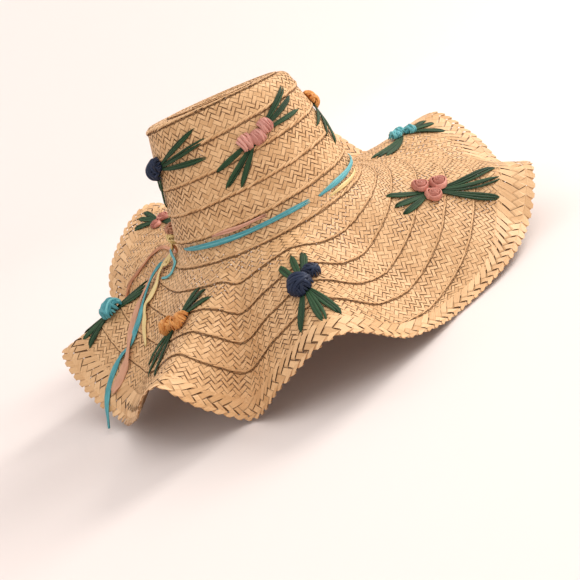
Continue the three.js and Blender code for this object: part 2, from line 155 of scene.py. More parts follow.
def row_line(row, azimuth):
    """Where a row begins: an even spiral on the crown, one quick step at the brim's right."""
    on_crown = CROWN_PITCH * (row - ROW_START - azimuth / 360)
    on_brim = BRIM_PITCH * (row - eased(azimuth, ROW_STEPS))
    share = np.clip((row - azimuth / 360) / 2, 0, 1)
    return on_crown + share * (on_brim - on_crown)


def row_edges(swept):
    """Azimuth, inner edge and outer edge of the plait after it has swept this many degrees."""
    row = FIRST_ROW + swept // 360
    azimuth = 180 - swept % 360
    inner = np.maximum(row_line(row, azimuth), TIP_START)
    outer = np.minimum(row_line(row + 1, azimuth), eased(azimuth, EDGE_STARTS)) + OVERLAP
    return azimuth, inner, outer


plait_swept = np.arange(0, 360 * (LAST_ROW - FIRST_ROW) + LAST_SWEEP, 1.0)
plait_azimuth, plait_inner, plait_outer = row_edges(plait_swept)
plait_middle = straw_middle(plait_azimuth, (plait_inner + plait_outer) / 2)
plait_run = np.cumsum(np.linalg.norm(np.diff(plait_middle, axis=0), axis=1))
plait_run = np.append(0, plait_run) / STRAND_PITCH


def lay_row(along, across, lift):
    """Carries a place on the flat plait, in strand pitches, to the sewn hat."""
    azimuth, inner, outer = row_edges(np.interp(along, plait_run, plait_swept))
    share = across * 2 / CROSSINGS
    down = inner + (outer - inner) * share
    lift = lift + ROW_TILT * (share - 0.5)
    return straw_middle(azimuth, down) + straw_facing(azimuth, down) * lift[..., None]


chance = np.random.default_rng(578)
CROSSING_HALF = 0.27
TURN_HIGH = 0.3
OVER_WIDTH = 0.92
WIDTH_SPREAD = 0.08
SLACK_NARROWING = 0.22
HOLES_FROM = 0.9
STRAY = 0.035


def plait_strands(numbers, way, crossings, over, lay, fill, rise, thick, lobes=()):
    """Strands that run one way across a flat plait, as rings of three corners, with their marks.

    Each lobe carries the strands past the edge: how far out, how narrow and how high.
    """
    inside = np.arange(1, crossings)
    crossed = np.stack((inside - CROSSING_HALF, inside + CROSSING_HALF), -1).ravel()
    half = crossings / 2
    ends = np.array([half] + [half + lobe[0] for lobe in lobes])
    narrowing = np.array([1.0] + [lobe[1] for lobe in lobes])
    middles = np.concatenate(((0,), crossed / 2, ends))
    places = numbers[:, None] + way * middles
    slack = 0.5 + 0.5 * np.sin(places * 0.37 + 2.1 * np.sin(middles * 0.9 + places * 0.11))
    lies = np.repeat(over(numbers[:, None], inside) * way, 2, 1)
    edges = np.full((len(numbers), 1), TURN_HIGH * way)
    lobe_edges = edges * np.array([1.0] + [lobe[2] for lobe in lobes])
    high = np.concatenate((edges, lies, lobe_edges), 1)
    # tucked marks where a strand dives under another: the straw material paints shade there, darker brown,
    # which also stands for the small dark holes between the strands.
    tucked = np.concatenate((0 * edges, lies < 0, 0 * lobe_edges), 1)
    shade = chance.random(len(numbers))
    thinner = WIDTH_SPREAD * chance.random(len(numbers))[:, None]
    over_width = fill * (OVER_WIDTH - thinner - SLACK_NARROWING * slack ** 2)
    widths = np.where(tucked > 0, 1 - 0.9 * np.clip(slack - HOLES_FROM, 0, 1), over_width)
    corners = widths[..., None] * np.array((-0.5, 0.5, 0.0) if way > 0 else (0.5, -0.5, 0.0))
    start = corners[:, :1]
    inner = corners[:, 1:1 + len(crossed)]
    outer = corners[:, 1 + len(crossed):] * narrowing[:, None]
    crossed = crossed[:, None]
    ends = ends[:, None]
    across = np.concatenate((0 * start, (crossed - inner) / 2, 0 * outer + ends), 1)
    along = np.concatenate((start, (crossed + inner) / 2, outer + ends), 1)
    stray = chance.normal(0, STRAY, len(numbers))
    along = (numbers + stray)[:, None, None] + way * along
    lift = high[..., None] * rise + np.array((0.5, 0.5, -0.5)) * thick
    sides = np.broadcast_to(np.array((0.0, 1.0, 0.5)), along.shape)
    shade = np.broadcast_to(shade[:, None, None], along.shape)
    tucked = np.broadcast_to(tucked[..., None], along.shape)
    return lay(along, across, lift), np.stack((sides, across * 5, shade, tucked), -1)


def make_piece(name, bundles, material, smooth):
    """Joins closed strips, each a row of rings in millimetres, into one object in the frame."""
    points, marks, faces = [], [], []
    count = 0
    for rings, mark in bundles:
        number = count + np.arange(rings[..., 0].size).reshape(rings.shape[:3])
        beside = np.roll(number, -1, 2)
        walls = np.stack((number[:, :-1], beside[:, :-1], beside[:, 1:], number[:, 1:]), -1)
        faces.extend(walls.reshape(-1, 4).tolist())
        faces.extend(number[:, 0, ::-1].tolist())
        faces.extend(number[:, -1].tolist())
        points.append(rings.reshape(-1, 3))
        marks.append(mark.reshape(-1, 4))
        count += number.size
    mesh = bpy.data.meshes.new(name)
    mesh.from_pydata(((np.concatenate(points) + SEAT) / 1000).tolist(), [], faces)
    strand = mesh.attributes.new("strand", "FLOAT_COLOR", "POINT")
    strand.data.foreach_set("color", np.concatenate(marks).astype(np.float32).ravel())
    if smooth:
        mesh.shade_smooth()
    mesh.materials.append(material)
    piece = bpy.data.objects.new(name, mesh)
    bpy.context.collection.objects.link(piece)
    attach(piece, "root")
    return piece


def fibre_material(name, dark, light, lines, grain, roughness, edge=None):
    """Plant fibre: each strand its own tone, with fine lines along it, and a darker brown painted shade
    where it dives under another; edge is the colour of that painted shade.
    """
    material = bpy.data.materials.new(name)
    material.use_nodes = True
    nodes = material.node_tree.nodes
    link = material.node_tree.links.new
    shader = nodes["Principled BSDF"]
    strand = nodes.new("ShaderNodeAttribute")
    strand.attribute_name = "strand"
    parts = nodes.new("ShaderNodeSeparateXYZ")
    link(strand.outputs["Vector"], parts.inputs[0])
    stretch = nodes.new("ShaderNodeVectorMath")
    stretch.operation = "MULTIPLY"
    stretch.inputs[1].default_value = (lines, grain, 41.0)
    link(strand.outputs["Vector"], stretch.inputs[0])
    fibres = nodes.new("ShaderNodeTexNoise")
    fibres.inputs["Scale"].default_value = 1.0
    fibres.inputs["Detail"].default_value = 4.0
    fibres.inputs["Roughness"].default_value = 0.6
    link(stretch.outputs[0], fibres.inputs["Vector"])
    spread = nodes.new("ShaderNodeMath")
    spread.operation = "MULTIPLY"
    spread.inputs[1].default_value = 0.35
    link(parts.outputs["Z"], spread.inputs[0])
    tone = nodes.new("ShaderNodeMath")
    tone.operation = "MULTIPLY_ADD"
    tone.inputs[1].default_value = 0.65
    link(fibres.outputs["Fac"], tone.inputs[0])
    link(spread.outputs[0], tone.inputs[2])
    colour = nodes.new("ShaderNodeValToRGB")
    colour.color_ramp.elements[0].position = 0.25
    colour.color_ramp.elements[0].color = (*dark, 1)
    colour.color_ramp.elements[1].position = 0.7
    colour.color_ramp.elements[1].color = (*light, 1)
    link(tone.outputs[0], colour.inputs["Fac"])
    surface = colour.outputs["Color"]
    # Painted shade: where the strand attribute's fourth value marks a dive under another strand, the colour
    # is mixed towards the edge colour.
    if edge:
        tucked = nodes.new("ShaderNodeMapRange")
        tucked.interpolation_type = "SMOOTHSTEP"
        tucked.inputs["From Min"].default_value = 0.25
        tucked.inputs["From Max"].default_value = 0.75
        tucked.inputs["To Max"].default_value = 0.95
        link(strand.outputs["Alpha"], tucked.inputs["Value"])
        dive_shaded = nodes.new("ShaderNodeMix")
        dive_shaded.data_type = "RGBA"
        dive_shaded.inputs["B"].default_value = (*edge, 1)
        link(tucked.outputs["Result"], dive_shaded.inputs["Factor"])
        link(surface, dive_shaded.inputs["A"])
        surface = dive_shaded.outputs["Result"]
    link(surface, shader.inputs["Base Color"])
    bump = nodes.new("ShaderNodeBump")
    bump.inputs["Strength"].default_value = 0.35
    bump.inputs["Distance"].default_value = 0.0004
    link(fibres.outputs["Fac"], bump.inputs["Height"])
    link(bump.outputs["Normal"], shader.inputs["Normal"])
    shader.inputs["Roughness"].default_value = roughness
    shader.inputs["Specular IOR Level"].default_value = 0.25
    return material


def body_over(number, crossing):
    """Over two and under two, each strand one step on from the last."""
    return np.where((2 * number + crossing) % 4 < 2, 1.0, -1.0)


def body_under(number, crossing):
    """The same crossings, seen along the strands that run the other way."""
    return np.where((2 * number - crossing) % 4 < 2, 1.0, -1.0)


STRAW_FILL = 1.0
STRAW_RISE = 0.3
STRAW_THICK = 0.4


def sewn_rows(first_row, past_row):
    """The plait's strands between two rows, both ways."""
    start = np.interp(360 * (first_row - FIRST_ROW), plait_swept, plait_run)
    stop = np.interp(360 * (past_row - FIRST_ROW), plait_swept, plait_run)
    numbers = np.arange(math.ceil(start), math.ceil(stop))
    rising = numbers[numbers + CROSSINGS / 2 + 1 < plait_run[-1]]
    falling = numbers[numbers > CROSSINGS / 2]
    make = (STRAW_FILL, STRAW_RISE, STRAW_THICK)
    return [plait_strands(rising, 1, CROSSINGS, body_over, lay_row, *make),
            plait_strands(falling, -1, CROSSINGS, body_under, lay_row, *make)]


STRAW_DARK = (0.60, 0.34, 0.155)
STRAW_LIGHT = (0.82, 0.52, 0.275)
# Painted shade: the dark brown mixed into the straw where a strand dives under another.
STRAW_DIVE_SHADE = (0.27, 0.135, 0.06)
straw = fibre_material("Palm straw", STRAW_DARK, STRAW_LIGHT, 5.0, 0.2, 0.5, STRAW_DIVE_SHADE)
crown_plait = make_piece("crown_plait", sewn_rows(FIRST_ROW, 0), straw, False)
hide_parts("crown")

# Brim: the same plait goes on in six more rows, wetted and pulled into the waves.
# Two lengths of it are made, the inner rows that carry on from the crown and the outer rows, the
# last of which runs out under the edge at the right.
brim_inner_rows = make_piece("brim_inner_rows", sewn_rows(0, 3), straw, False)
brim_outer_rows = make_piece("brim_outer_rows", sewn_rows(3, LAST_ROW + 2), straw, False)
for rows in (brim_inner_rows, brim_outer_rows):
    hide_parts("brim")

# Row edges: where the strands turn back, the plait's outer edge stands up like a twisted cord.
# A brown sewing thread lies in the groove beside it and holds it down on the next row. Its dark brown
# is partly the seam's stain and partly painted shadow along the overlapped edge.
CROWN_TURN = (1.3, 0.45)
BRIM_TURN = (0.8, 0.22)
TURN_WOBBLE = 0.25
ROW_MARGIN = 6
turned_edge = straw_middle(plait_azimuth, plait_outer)
turned_run = np.append(0, np.cumsum(np.linalg.norm(np.diff(turned_edge, axis=0), axis=1)))


def lay_by_edge(run, aside, lift):
    """Carries a place beside the plait's turned edge, run millimetres along it, to the hat."""
    azimuth, _, outer = row_edges(np.interp(run, turned_run, plait_swept))
    down = outer + aside
    return straw_middle(azimuth, down) + straw_facing(azimuth, down) * (lift + ROW_TILT / 2)[..., None]


def turned_strands(first_row, past_row, wide, high):
    """The short slanting turns of the strands along the edge, between two rows."""
    start = np.interp(360 * (first_row - FIRST_ROW), plait_swept, turned_run)
    stop = np.interp(360 * (past_row - FIRST_ROW), plait_swept, turned_run)
    middles = np.arange(start + ROW_MARGIN, stop - ROW_MARGIN, STRAND_PITCH)[:, None, None]
    slant = np.linspace(-1, 1, 7)[None, :, None]
    fullness = np.sqrt(1.02 - slant ** 2)
    sides = np.array((1.0, 0.0, -1.0, 0.0))
    tops = np.array((0.0, 1.0, 0.0, -1.0))
    wobble = chance.normal(0, TURN_WOBBLE, middles.shape)
    run = middles + STRAND_PITCH * slant + 0 * sides
    aside = -wide + wobble + 0.8 * wide * slant + wide * fullness * sides
    lift = 0.2 + high * fullness ** 2 + 0.8 * high * fullness * tops
    aside = np.broadcast_to(aside, run.shape)
    lift = np.broadcast_to(lift, run.shape)
    shade = np.broadcast_to(chance.random(middles.shape), run.shape)
    around = np.broadcast_to(np.array((0.97, 0.5, 0.03, 0.5)), run.shape)
    # ended grows towards both ends of each turn, where it dives into the plait; the straw material paints
    # shade there.
    ended = np.broadcast_to(np.abs(slant) ** 4, run.shape)
    return lay_by_edge(run, aside, lift), np.stack((around, run, shade, ended), -1)


crown_edges = make_piece("crown_row_edges", [turned_strands(FIRST_ROW, 0, *CROWN_TURN)], straw, True)
brim_edges = make_piece("brim_row_edges", [turned_strands(0, LAST_ROW + 1, *BRIM_TURN)], straw, True)

THREAD_RADIUS = 0.36
THREAD_ASIDE = 0.9
THREAD_WANDER = 0.4
THREAD_SUNK = 0.5
THREAD_MARGIN = 10
THREAD_STEP = 3.0
thread_run = np.arange(THREAD_MARGIN, turned_run[-1] - THREAD_MARGIN, THREAD_STEP)[None, :, None]
thread_turn = np.radians((0, 120, 240))
thread_stray = THREAD_ASIDE + THREAD_WANDER * np.sin(thread_run * 0.5 + 2 * np.sin(thread_run * 0.13))
thread_rings = lay_by_edge(thread_run + 0 * thread_turn, thread_stray + THREAD_RADIUS * np.cos(thread_turn),
                           -THREAD_SUNK + THREAD_RADIUS * np.sin(thread_turn) + 0 * thread_run)
thread_marks = np.stack(np.broadcast_arrays(thread_turn / 7, thread_run, 0.5, 0.0), -1)
# The thread's dark brown is partly the seam's stain and partly a painted shadow along the overlapped row
# edge.
thread_and_seam_shadow = fibre_material("Brown thread and seam shadow", (0.16, 0.08, 0.035), (0.30, 0.16, 0.07), 3.0, 1.5, 0.7)
thread = make_piece("sewing_thread_and_seam_shadow", [(thread_rings, thread_marks)], thread_and_seam_shadow, True)

# Edge plait: a wider strip of four broad strands, plaited into a herringbone and sewn round the rim.
# Each strand folds over at the outside, which gives the rim its round scallops.
EDGE_UNDER = 1.5
EDGE_OUTER = 142.5
EDGE_LIFT = 0.6
EDGE_STRAND = 9.4
EDGE_CROSSINGS = 4
EDGE_FILL = 1.06
EDGE_RISE = 0.6
EDGE_THICK = 0.5
EDGE_LIGHT = (0.84, 0.54, 0.29)
# Painted shade on the edge plait, where a strand dives under another:
EDGE_DIVE_SHADE = (0.22, 0.11, 0.05)
RIM_LOBES = ((0.25, 0.95, 2.6), (0.45, 0.72, 3.0), (0.58, 0.3, 1.0))
rim_azimuth = np.linspace(-180, 180, 1441)
rim_middle = straw_middle(rim_azimuth, np.full(len(rim_azimuth), EDGE_OUTER))
rim_run = np.append(0, np.cumsum(np.linalg.norm(np.diff(rim_middle, axis=0), axis=1)))
rim_strands = int(round(rim_run[-1] / EDGE_STRAND))


def lay_edge(along, across, lift):
    """Carries a place on the flat edge plait to the hat's rim."""
    azimuth = np.interp((-along % rim_strands) * rim_run[-1] / rim_strands, rim_run, rim_azimuth)
    inner = eased(azimuth, EDGE_STARTS) - EDGE_UNDER
    down = inner + (EDGE_OUTER - inner) * across * 2 / EDGE_CROSSINGS
    return straw_middle(azimuth, down) + straw_facing(azimuth, down) * (EDGE_LIFT + lift)[..., None]


def edge_over(number, crossing):
    """One way lies on top along the inside, the other along the outside."""
    return np.where(crossing <= EDGE_CROSSINGS / 2, 1.0, -1.0) + 0 * number


rim_numbers = np.arange(rim_strands)
straw_edge = fibre_material("Broad palm straw", STRAW_DARK, EDGE_LIGHT, 9.0, 0.2, 0.45, EDGE_DIVE_SHADE)
rim_bundles = [
    plait_strands(rim_numbers, way, EDGE_CROSSINGS, edge_over, lay_edge, EDGE_FILL, EDGE_RISE, EDGE_THICK,
                  RIM_LOBES)
    for way in (1, -1)]
edge = make_piece("edge_herringbone", rim_bundles, straw_edge, False)
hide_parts("edge_plait")

# Leaves: long stitches of green raffia, three side by side for each leaf, drawn through the straw.
# A spray has two fans of three leaves that part from under the flower. Its place is its azimuth and
# its height on the crown, or how far out on the brim; a fan has a heading, a spread and a length.
SPRAYS = (
    ("crown_navy", "crown", -72, 85, (97, 11, 68), (-50, 32, 38)),
    ("crown_pink", "crown", 12, 81, (104, 13, 56), (-54, 16, 48)),
    ("crown_orange", "crown", 93, 78, (104, 13, 54), (-53, 13, 52)),
    ("crown_turquoise", "crown", -177, 83, (104, 13, 54), (-54, 15, 48)),
    ("brim_coral_back", "brim", -146, 97, (7, 16, 40), (-170, 16, 44)),
    ("brim_turquoise_left", "brim", -96, 82, (6, 14, 43), (175, 14, 46)),
    ("brim_orange_front", "brim", -47, 63, (-25, 28, 52), (141, 21, 42)),
    ("brim_navy_front", "brim", -1, 80, (0, 18, 48), (180, 18, 44)),
    ("brim_coral_right", "brim", 69, 59, (16, 10, 64), (-124, 15, 44)),
    ("brim_turquoise_right", "brim", 121, 90, (-14, 16, 41), (-151, 11, 68)),
    ("brim_orange_back", "brim", 160, 86, (-4, 16, 42), (176, 16, 44)))


def down_from(on, at):
    """The way along the straw from the crown's base line, to a height on the crown or out on the brim."""
    return -np.interp(at, profile[:-1, 1], climb[:-1]) if on == "crown" else at


def strip_rings(path, facing, half_width, half_depth, corners, pleat=0.0):
    """A closed flat strip along a path, its wide side turned to the facing, with pleats along it."""
    ahead = np.gradient(path, axis=0)
    ahead /= np.linalg.norm(ahead, axis=1, keepdims=True)
    side = np.cross(facing, ahead)
    side /= np.linalg.norm(side, axis=1, keepdims=True)
    above = np.cross(ahead, side)
    turn = np.linspace(0, 2 * math.pi, corners, endpoint=False)
    folds = 1 + pleat * np.cos(turn * corners / 2)
    rings = (path[:, None] + side[:, None] * (np.cos(turn) * half_width[:, None])[..., None]
             + above[:, None] * (folds * np.sin(turn) * half_depth[:, None])[..., None])
    length = np.append(0, np.cumsum(np.linalg.norm(np.diff(path, axis=0), axis=1)))
    marks = np.stack(np.broadcast_arrays(turn / (2 * math.pi), length[:, None], chance.random(), 0.0), -1)
    return rings, marks


def stacked(strips):
    """Strips of the same make, as one bundle."""
    return np.stack([rings for rings, _ in strips]), np.stack([marks for _, marks in strips])


def stepped(azimuth, down, heading, ahead, aside):
    """Where a step along the straw leads, ahead on a heading and aside of it."""
    middle = straw_middle(np.float64(azimuth), np.float64(down))
    turn = math.radians(heading)
    round_hat = ahead * math.sin(turn) + aside * math.cos(turn)
    down_hat = ahead * math.cos(turn) - aside * math.sin(turn)
    return azimuth + np.degrees(round_hat / math.hypot(middle[0], middle[1])), down + down_hat


STITCH_STEPS = 15
BLADE_AT = (0, 0.15, 0.45, 0.7, 0.9, 1)
BLADE_WIDE = (0.2, 0.45, 0.85, 1.0, 0.8, 0.3)
ARCH_AT = (0, 0.12, 0.5, 0.9, 1)
ARCH_HIGH = (0.2, 0.8, 1.0, 0.85, 0.0)


def stitch(azimuth, down, heading, aside, length, half):
    """One long stitch: up through the straw under the flower, along it and down again at the tip."""
    share = np.linspace(0, 1, STITCH_STEPS)
    blade = np.interp(share, BLADE_AT, BLADE_WIDE)
    arch = np.interp(share, ARCH_AT, ARCH_HIGH)
    azimuths, downs = stepped(azimuth, down, heading, length * (0.04 + 0.96 * share), aside * blade)
    facing = straw_facing(azimuths, downs)
    path = straw_middle(azimuths, downs) + facing * (0.6 + 1.7 * arch)[:, None]
    return strip_rings(path, facing, half * blade, 0.25 + 0.5 * arch, 8)


LEAF_WIDTH = {"crown": 4.3, "brim": 5.8}
LEAF_LENGTHS = (0.94, 1.06)
STITCH_LENGTHS = (0.93, 1)
LEAF_LEAN = 2.0
STITCH_LEAN = 0.4
leaf_green = fibre_material("Green raffia", (0.008, 0.026, 0.011), (0.032, 0.085, 0.036), 6.0, 0.12, 0.6)
for name, on, azimuth, at, *fans in SPRAYS:
    down = down_from(on, at)
    wide = LEAF_WIDTH[on]
    stitches = []
    for heading, fan, length in fans:
        for leaf in (-1, 0, 1):
            reach = length * chance.uniform(*LEAF_LENGTHS)
            lean = heading + leaf * fan + chance.normal(0, LEAF_LEAN)
            for place in (-1, 0, 1):
                way = lean + chance.normal(0, STITCH_LEAN)
                long = reach * chance.uniform(*STITCH_LENGTHS)
                stitches.append(stitch(azimuth, down, way, place * wide / 3, long, wide / 4))
    leaves = make_piece("stitched_leaves_" + name, [stacked(stitches)], leaf_green, True)
    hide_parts("leaves_" + name)

# Flowers: raffia wound into knots the size of a fingertip, one to three of them sewn on each spray.
# Most have windings crossed over the first ones, and the coral ones are a flat strand rolled up on
# its edge like a rose. A knot's place is ahead and aside of the spray's, then come radius and shape.
KNOTS = {
    "crown_navy": ((-3, 0, 9.5, "crossed"), (7, 3, 6.5, "crossed")),
    "crown_pink": ((11, 1, 7.0, "wound"), (0, -2, 7.0, "wound"), (-10, 1, 7.5, "wound")),
    "crown_orange": ((6, 0, 7.2, "crossed"), (-6, 1, 7.2, "crossed")),
    "crown_turquoise": ((9, 0, 6.8, "wound"), (-2, 3, 6.8, "wound"), (-9, -3, 6.5, "wound")),
    "brim_coral_back": ((0, -5, 7.0, "rose"), (1, 6, 6.5, "rose")),
    "brim_turquoise_left": ((0, 0, 12.0, "crossed"),),
    "brim_orange_front": ((-4, 12, 9.0, "crossed"), (4, -8, 9.0, "crossed")),
    "brim_navy_front": ((2, -2, 10.5, "crossed"), (-10, 9, 7.5, "crossed")),
    "brim_coral_right": ((-9, 3, 8.0, "rose"), (2, -7, 8.0, "rose"), (8, 6, 8.5, "rose")),
    "brim_turquoise_right": ((-9, 0, 7.0, "crossed"), (0, 6, 7.0, "crossed"), (9, 0, 7.0, "crossed")),
    "brim_orange_back": ((0, 8, 8.5, "crossed"), (0, -8, 8.5, "crossed"))}
RAFFIA = {
    "navy": ((0.006, 0.009, 0.022), (0.026, 0.040, 0.085)),
    "pink": ((0.40, 0.14, 0.11), (0.78, 0.40, 0.33)),
    "coral": ((0.36, 0.11, 0.08), (0.74, 0.33, 0.26)),
    "orange": ((0.48, 0.16, 0.03), (0.86, 0.42, 0.13)),
    "turquoise": ((0.03, 0.22, 0.27), (0.19, 0.56, 0.60)),
    "salmon": ((0.48, 0.20, 0.13), (0.80, 0.45, 0.32)),
    "yellow": ((0.62, 0.42, 0.14), (0.90, 0.72, 0.36)),
    "peach": ((0.40, 0.17, 0.10), (0.68, 0.37, 0.24)),
    "rust": ((0.36, 0.14, 0.07), (0.68, 0.34, 0.20))}
WINDINGS = {
    "wound": ((90, 8, 0.0), (78, 3, 0.10)),
    "crossed": ((25, 8, 0.0), (115, 6, 0.14), (65, 4, 0.28))}
PETALS = (
    (0.3, 3.1, 0.62, 0.88, 0.50), (0.0, 0.40, 0.82, 0.0, 0.34), (2.0, 0.40, 0.84, 0.0, 0.30),
    (4.1, 0.42, 0.80, 0.0, 0.36))
KNOT_STEPS = 29
KNOT_CORNERS = 12
KNOT_PLEAT = 0.22
KNOT_CLEAR = 2.0
raffia = {}
for colour, (dark, light) in RAFFIA.items():
    raffia[colour] = fibre_material("Raffia " + colour, dark, light, 8.0, 0.1, 0.45)


def wound_knot(foot, side, out, facing, shape, radius):
    """A knot's strands on the straw, each a fluted strip about the foot, +Z away from the straw."""
    share = np.linspace(0, 1, KNOT_STEPS)
    strands = []
    if shape == "rose":
        for begin, turns, reach, close, high in PETALS:
            turn = begin + 2 * math.pi * turns * share
            far = reach * (1 - close * share) * (1 + 0.09 * np.sin(2.3 * turn + begin))
            rise = high + 0.22 * close * share + 0.05 * np.sin(3 * turn)
            line = np.stack((far * np.cos(turn), far * np.sin(turn), rise), -1)
            look = np.stack((np.cos(turn), np.sin(turn), np.full(KNOT_STEPS, 0.45)), -1)
            ends = np.sin(math.pi * (0.12 + 0.76 * share)) ** 0.5
            strands.append((line, look, 0.34 * ends, 0.12 * ends))
    else:
        for heading, count, above in WINDINGS[shape]:
            for place in (np.arange(count) + 0.5) / count * 1.7 - 0.85:
                turn = math.radians(heading + chance.normal(0, 6 + 60 * above))
                place = place * (1 - 1.4 * above) + chance.normal(0, 0.04)
                round_place = math.sqrt(1 - 0.8 * place ** 2)
                over = math.pi * share
                ahead = -0.92 * round_place * np.cos(over)
                beside = place + 0.08 * np.sin(2 * over + chance.uniform(0, 6))
                crest = 0.62 * round_place * chance.uniform(0.78, 1.15) + above
                rise = 0.05 + crest * np.sin(over) ** 0.75
                line = np.stack((ahead * math.cos(turn) - beside * math.sin(turn),
                                 ahead * math.sin(turn) + beside * math.cos(turn), rise), -1)
                lean = np.array((-math.sin(turn), math.cos(turn), 0.15)) * chance.normal(0, 0.35)
                ends = (0.45 + 0.55 * np.sin(over)) * chance.uniform(0.85, 1.1)
                strands.append((line, line + lean + np.array((0, 0, 0.15)), 0.17 * ends, 0.13 * ends))
        core = np.stack((share - 0.5, 0 * share, 0.28 + 0 * share), -1)
        strands.append((core, core * 0 + np.array((0, 0, 1.0)), 0.5 + 0 * share, 0.28 + 0 * share))
    axes = np.stack((side, out, facing))
    return [strip_rings(foot + line @ axes * radius, look @ axes, wide * radius, deep * radius, KNOT_CORNERS,
                        KNOT_PLEAT)
            for line, look, wide, deep in strands]


for name, on, azimuth, at, (heading, _, _), _ in SPRAYS:
    strips = []
    for ahead, across, radius, shape in KNOTS[name]:
        spot = stepped(azimuth, down_from(on, at), heading, ahead, across)
        facing = straw_facing(*spot)
        out = straw_middle(spot[0], spot[1] + 1) - straw_middle(spot[0], spot[1] - 1)
        out /= np.linalg.norm(out)
        turn = math.radians(heading)
        lead = out * math.cos(turn) - np.cross(out, facing) * math.sin(turn)
        foot = straw_middle(*spot) + facing * KNOT_CLEAR
        strips.extend(wound_knot(foot, lead, np.cross(facing, lead), facing, shape, radius))
    colour = name.split("_")[1]
    flower = make_piece("wound_knots_" + name, [stacked(strips)], raffia[colour], True)
    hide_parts("flower_" + name)

# Band: flat strands of dyed raffia laced in and out of the straw round the foot of the crown.
# Each stretch is three thin strands that narrow where they dive through the straw. It is given by the
# azimuths and heights of its ends and by half its width.
BAND = (
    ("turquoise_front", -67, 22, 13, 13.5, 2.5),
    ("turquoise_right", 28, 80, 12.5, 18, 2.5),
    ("turquoise_back", 87, 163, 15, 13, 2.5),
    ("turquoise_left", 170, 238, 13, 15, 2.5),
    ("salmon_front", -38, -3, 19.5, 19.5, 1.9),
    ("yellow_right", 33, 70, 7, 9.5, 2.0))
BAND_STEPS = 33
BAND_DIVE = 12
for name, start, stop, start_height, stop_height, half in BAND:
    share = np.linspace(0, 1, BAND_STEPS)
    azimuths = start + (stop - start) * share
    heights = start_height + (stop_height - start_height) * share
    strips = []
    for layer in (-0.6, 0.0, 0.6):
        wander = 0.4 * np.sin(9 * share + 9 * layer) + layer * half * 0.7
        downs = down_from("crown", heights + wander)
        ends = np.clip(np.minimum(share, 1 - share) * (stop - start) / BAND_DIVE, 0, 1)
        facing = straw_facing(azimuths, downs)
        path = straw_middle(azimuths, downs) + facing * (0.4 + 1.9 * ends ** 0.6 + 0.25 * layer)[:, None]
        strips.append(strip_rings(path, facing, half * (0.12 + 0.36 * ends), 0.3 + 0.45 * ends, 12, 0.25))
    colour = name.split("_")[0]
    stretch = make_piece("laced_band_" + name, [stacked(strips)], raffia[colour], True)
    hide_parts("band_" + name)

# Tie: the band's ends are knotted at the left, and five limp tails of raffia hang over the brim.
# Each tail is one flat strand, cut off bare, and lies on the straw. Its route gives the azimuth, the
# distance out and the lift over what lies under it, after its cord's width and three half widths.
TAILS = (
    ("rust", "rust", 0.0036, (1.5, 2.2, 1.6), (
        (-106, -4, 5), (-118, 12, 2), (-126, 30, 0), (-130.5, 46, 0), (-132, 58, 0), (-131, 67, 0),
        (-129, 79, 0), (-127.5, 94, 0), (-126.5, 108, 0), (-124.5, 121, 0))),
    ("turquoise", "turquoise", 0.0046, (1.8, 2.6, 2.6), (
        (-104, -4, 5), (-100, 10, 3), (-95, 23, 2.4), (-89, 37, 2.4), (-85.5, 51, 1), (-83, 61, 0),
        (-81, 75, 0), (-80, 87, 0), (-81, 98, 0), (-81, 108, 0), (-80, 125, 0), (-78, 142, 0),
        (-74, 160, 0))),
    ("peach", "peach", 0.0058, (1.6, 3.0, 5.0), (
        (-103, -4, 6), (-98.5, 14, 2.4), (-92.5, 30, 2.4), (-89.5, 41, 2.4), (-88, 54, 1), (-85, 67, 0.4),
        (-82, 79, 1), (-79.5, 89, 1.8), (-78, 100, 1), (-77.5, 111, 0), (-77.5, 121, 0), (-78, 131, 0))),
    ("yellow", "yellow", 0.0046, (2.2, 3.0, 1.6), (
        (-101, -4, 5), (-97, 11, 1.5), (-91, 20, 1), (-86, 29, 0.6), (-84, 39, 0.6), (-83.5, 49, 1),
        (-80, 59, 0), (-76.5, 69, 0), (-72, 79, 0))),
    ("loop", "turquoise", 0.0026, (1.3, 1.5, 1.2), (
        (-98, -4, 5), (-92, -3, 3), (-86, -2, 1), (-80, 1, 0), (-77, 8, 0), (-79.5, 15, 0), (-85, 20, 0))))


def smooth_route(places, steps):
    """A curve through the places, easing by the root of the way between them."""
    knots = np.array(places, float)
    knots = np.vstack((2 * knots[0] - knots[1], knots, 2 * knots[-1] - knots[-2]))
    gaps = np.sqrt(np.linalg.norm(np.diff(knots, axis=0), axis=1))
    route = []
    for share in np.linspace(0, len(places) - 1, steps):
        k = min(int(share), len(places) - 2) + 1
        part = share - (k - 1)
        before, here, there, after = knots[k - 1:k + 3]
        gap_before, gap, gap_after = gaps[k - 1:k + 2]
        leaving = (here - before) / gap_before + (there - here) / gap - (there - before) / (gap_before + gap)
        coming = (there - here) / gap + (after - there) / gap_after - (after - here) / (gap + gap_after)
        route.append(here * (1 + 2 * part) * (1 - part) ** 2 + there * part ** 2 * (3 - 2 * part)
                     + gap * part * (1 - part) * (leaving * (1 - part) - coming * part))
    return np.array(route)


